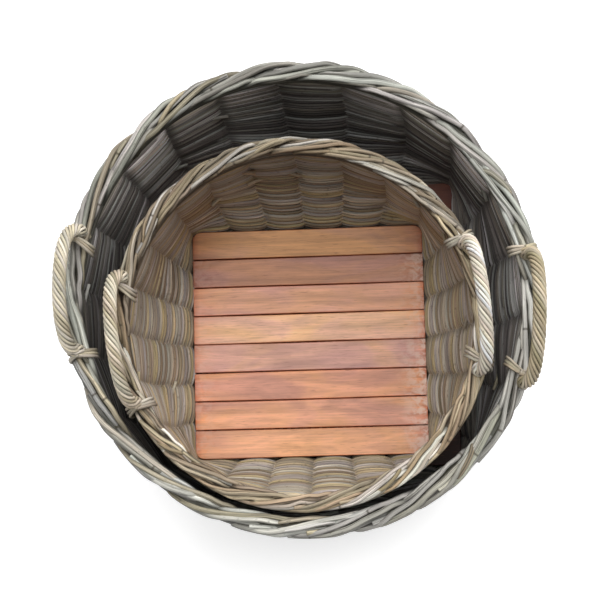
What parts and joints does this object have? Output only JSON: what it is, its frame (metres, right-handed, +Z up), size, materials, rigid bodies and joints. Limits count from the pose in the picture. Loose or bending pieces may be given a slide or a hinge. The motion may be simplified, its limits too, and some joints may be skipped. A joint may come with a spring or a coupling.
{
  "type": "nested rolling rattan baskets",
  "caption": "Nested pair of woven rattan baskets with round plaited rims, square slatted wooden decks, rope-twist handles and swivel castors; the small basket lifts out of the large one.",
  "frame": {"origin": "on the ground below the centre of the large basket", "axes": "+Z up out of the baskets; +X along the deck slats, towards the right-hand handles as pictured; +Y towards the top edge of the picture"},
  "size_m": [0.6129, 0.6, 0.4765],
  "materials": {
    "grey_rattan": "weathered grey-brown rattan cane",
    "brown_rattan": "olive-brown rattan cane",
    "handle_cane": "pale twisted rattan cane",
    "slat_wood": "oiled reddish hardwood",
    "batten_wood": "plain hardwood",
    "zinc_steel": "zinc-plated pressed steel",
    "wheel_plastic": "black moulded plastic"
  },
  "bodies": {
    "large_basket": {"large_woven_body": "grey_rattan", "large_rim_border": "grey_rattan", "large_handle_right": "handle_cane", "large_handle_left": "handle_cane", "large_batten_left": "batten_wood", "large_batten_right": "batten_wood", "large_slat_1": "slat_wood", "large_slat_2": "slat_wood", "large_slat_3": "slat_wood", "large_slat_4": "slat_wood", "large_slat_5": "slat_wood", "large_slat_6": "slat_wood", "large_slat_7": "slat_wood", "large_slat_8": "slat_wood", "large_castor_front_left_plate": "zinc_steel", "large_castor_front_right_plate": "zinc_steel", "large_castor_back_left_plate": "zinc_steel", "large_castor_back_right_plate": "zinc_steel"},
    "small_basket": {"small_woven_body": "brown_rattan", "small_rim_border": "brown_rattan", "small_handle_right": "handle_cane", "small_handle_left": "handle_cane", "small_batten_left": "batten_wood", "small_batten_right": "batten_wood", "small_slat_1": "slat_wood", "small_slat_2": "slat_wood", "small_slat_3": "slat_wood", "small_slat_4": "slat_wood", "small_slat_5": "slat_wood", "small_slat_6": "slat_wood", "small_slat_7": "slat_wood", "small_slat_8": "slat_wood", "small_castor_front_left_plate": "zinc_steel", "small_castor_front_right_plate": "zinc_steel", "small_castor_back_left_plate": "zinc_steel", "small_castor_back_right_plate": "zinc_steel"},
    "large_castor_front_left_swivel": {"large_castor_front_left_fork": "zinc_steel", "large_castor_front_left_axle": "zinc_steel"},
    "large_castor_front_left_roller": {"large_castor_front_left_wheel": "wheel_plastic"},
    "large_castor_front_right_swivel": {"large_castor_front_right_fork": "zinc_steel", "large_castor_front_right_axle": "zinc_steel"},
    "large_castor_front_right_roller": {"large_castor_front_right_wheel": "wheel_plastic"},
    "large_castor_back_left_swivel": {"large_castor_back_left_fork": "zinc_steel", "large_castor_back_left_axle": "zinc_steel"},
    "large_castor_back_left_roller": {"large_castor_back_left_wheel": "wheel_plastic"},
    "large_castor_back_right_swivel": {"large_castor_back_right_fork": "zinc_steel", "large_castor_back_right_axle": "zinc_steel"},
    "large_castor_back_right_roller": {"large_castor_back_right_wheel": "wheel_plastic"},
    "small_castor_front_left_swivel": {"small_castor_front_left_fork": "zinc_steel", "small_castor_front_left_axle": "zinc_steel"},
    "small_castor_front_left_roller": {"small_castor_front_left_wheel": "wheel_plastic"},
    "small_castor_front_right_swivel": {"small_castor_front_right_fork": "zinc_steel", "small_castor_front_right_axle": "zinc_steel"},
    "small_castor_front_right_roller": {"small_castor_front_right_wheel": "wheel_plastic"},
    "small_castor_back_left_swivel": {"small_castor_back_left_fork": "zinc_steel", "small_castor_back_left_axle": "zinc_steel"},
    "small_castor_back_left_roller": {"small_castor_back_left_wheel": "wheel_plastic"},
    "small_castor_back_right_swivel": {"small_castor_back_right_fork": "zinc_steel", "small_castor_back_right_axle": "zinc_steel"},
    "small_castor_back_right_roller": {"small_castor_back_right_wheel": "wheel_plastic"}
  },
  "joints": [
    {"name": "small_basket_lift", "type": "slide", "parent": "large_basket", "child": "small_basket", "axis": [0, 0, 1], "range_m": [0, 0.36]},
    {"name": "large_castor_front_left_swivel", "type": "hinge", "parent": "large_basket", "child": "large_castor_front_left_swivel", "pos_m": [-0.15, -0.15, 0.04], "axis": [0, 0, 1], "continuous": true},
    {"name": "large_castor_front_left_roll", "type": "hinge", "parent": "large_castor_front_left_swivel", "child": "large_castor_front_left_roller", "pos_m": [-0.15, -0.164, 0.01667], "axis": [1, 0, 0], "continuous": true},
    {"name": "large_castor_front_right_swivel", "type": "hinge", "parent": "large_basket", "child": "large_castor_front_right_swivel", "pos_m": [0.15, -0.15, 0.04], "axis": [0, 0, 1], "continuous": true},
    {"name": "large_castor_front_right_roll", "type": "hinge", "parent": "large_castor_front_right_swivel", "child": "large_castor_front_right_roller", "pos_m": [0.15, -0.164, 0.01667], "axis": [1, 0, 0], "continuous": true},
    {"name": "large_castor_back_left_swivel", "type": "hinge", "parent": "large_basket", "child": "large_castor_back_left_swivel", "pos_m": [-0.15, 0.15, 0.04], "axis": [0, 0, 1], "continuous": true},
    {"name": "large_castor_back_left_roll", "type": "hinge", "parent": "large_castor_back_left_swivel", "child": "large_castor_back_left_roller", "pos_m": [-0.15, 0.136, 0.01667], "axis": [1, 0, 0], "continuous": true},
    {"name": "large_castor_back_right_swivel", "type": "hinge", "parent": "large_basket", "child": "large_castor_back_right_swivel", "pos_m": [0.15, 0.15, 0.04], "axis": [0, 0, 1], "continuous": true},
    {"name": "large_castor_back_right_roll", "type": "hinge", "parent": "large_castor_back_right_swivel", "child": "large_castor_back_right_roller", "pos_m": [0.15, 0.136, 0.01667], "axis": [1, 0, 0], "continuous": true},
    {"name": "small_castor_front_left_swivel", "type": "hinge", "parent": "small_basket", "child": "small_castor_front_left_swivel", "pos_m": [-0.11103, -0.1366, 0.12257], "axis": [0, 0, 1], "continuous": true},
    {"name": "small_castor_front_left_roll", "type": "hinge", "parent": "small_castor_front_left_swivel", "child": "small_castor_front_left_roller", "pos_m": [-0.11103, -0.1506, 0.09925], "axis": [1, 0, 0], "continuous": true},
    {"name": "small_castor_front_right_swivel", "type": "hinge", "parent": "small_basket", "child": "small_castor_front_right_swivel", "pos_m": [0.10397, -0.1366, 0.12257], "axis": [0, 0, 1], "continuous": true},
    {"name": "small_castor_front_right_roll", "type": "hinge", "parent": "small_castor_front_right_swivel", "child": "small_castor_front_right_roller", "pos_m": [0.10397, -0.1506, 0.09925], "axis": [1, 0, 0], "continuous": true},
    {"name": "small_castor_back_left_swivel", "type": "hinge", "parent": "small_basket", "child": "small_castor_back_left_swivel", "pos_m": [-0.11103, 0.0746, 0.12257], "axis": [0, 0, 1], "continuous": true},
    {"name": "small_castor_back_left_roll", "type": "hinge", "parent": "small_castor_back_left_swivel", "child": "small_castor_back_left_roller", "pos_m": [-0.11103, 0.0606, 0.09925], "axis": [1, 0, 0], "continuous": true},
    {"name": "small_castor_back_right_swivel", "type": "hinge", "parent": "small_basket", "child": "small_castor_back_right_swivel", "pos_m": [0.10397, 0.0746, 0.12257], "axis": [0, 0, 1], "continuous": true},
    {"name": "small_castor_back_right_roll", "type": "hinge", "parent": "small_castor_back_right_swivel", "child": "small_castor_back_right_roller", "pos_m": [0.10397, 0.0606, 0.09925], "axis": [1, 0, 0], "continuous": true}
  ]
}
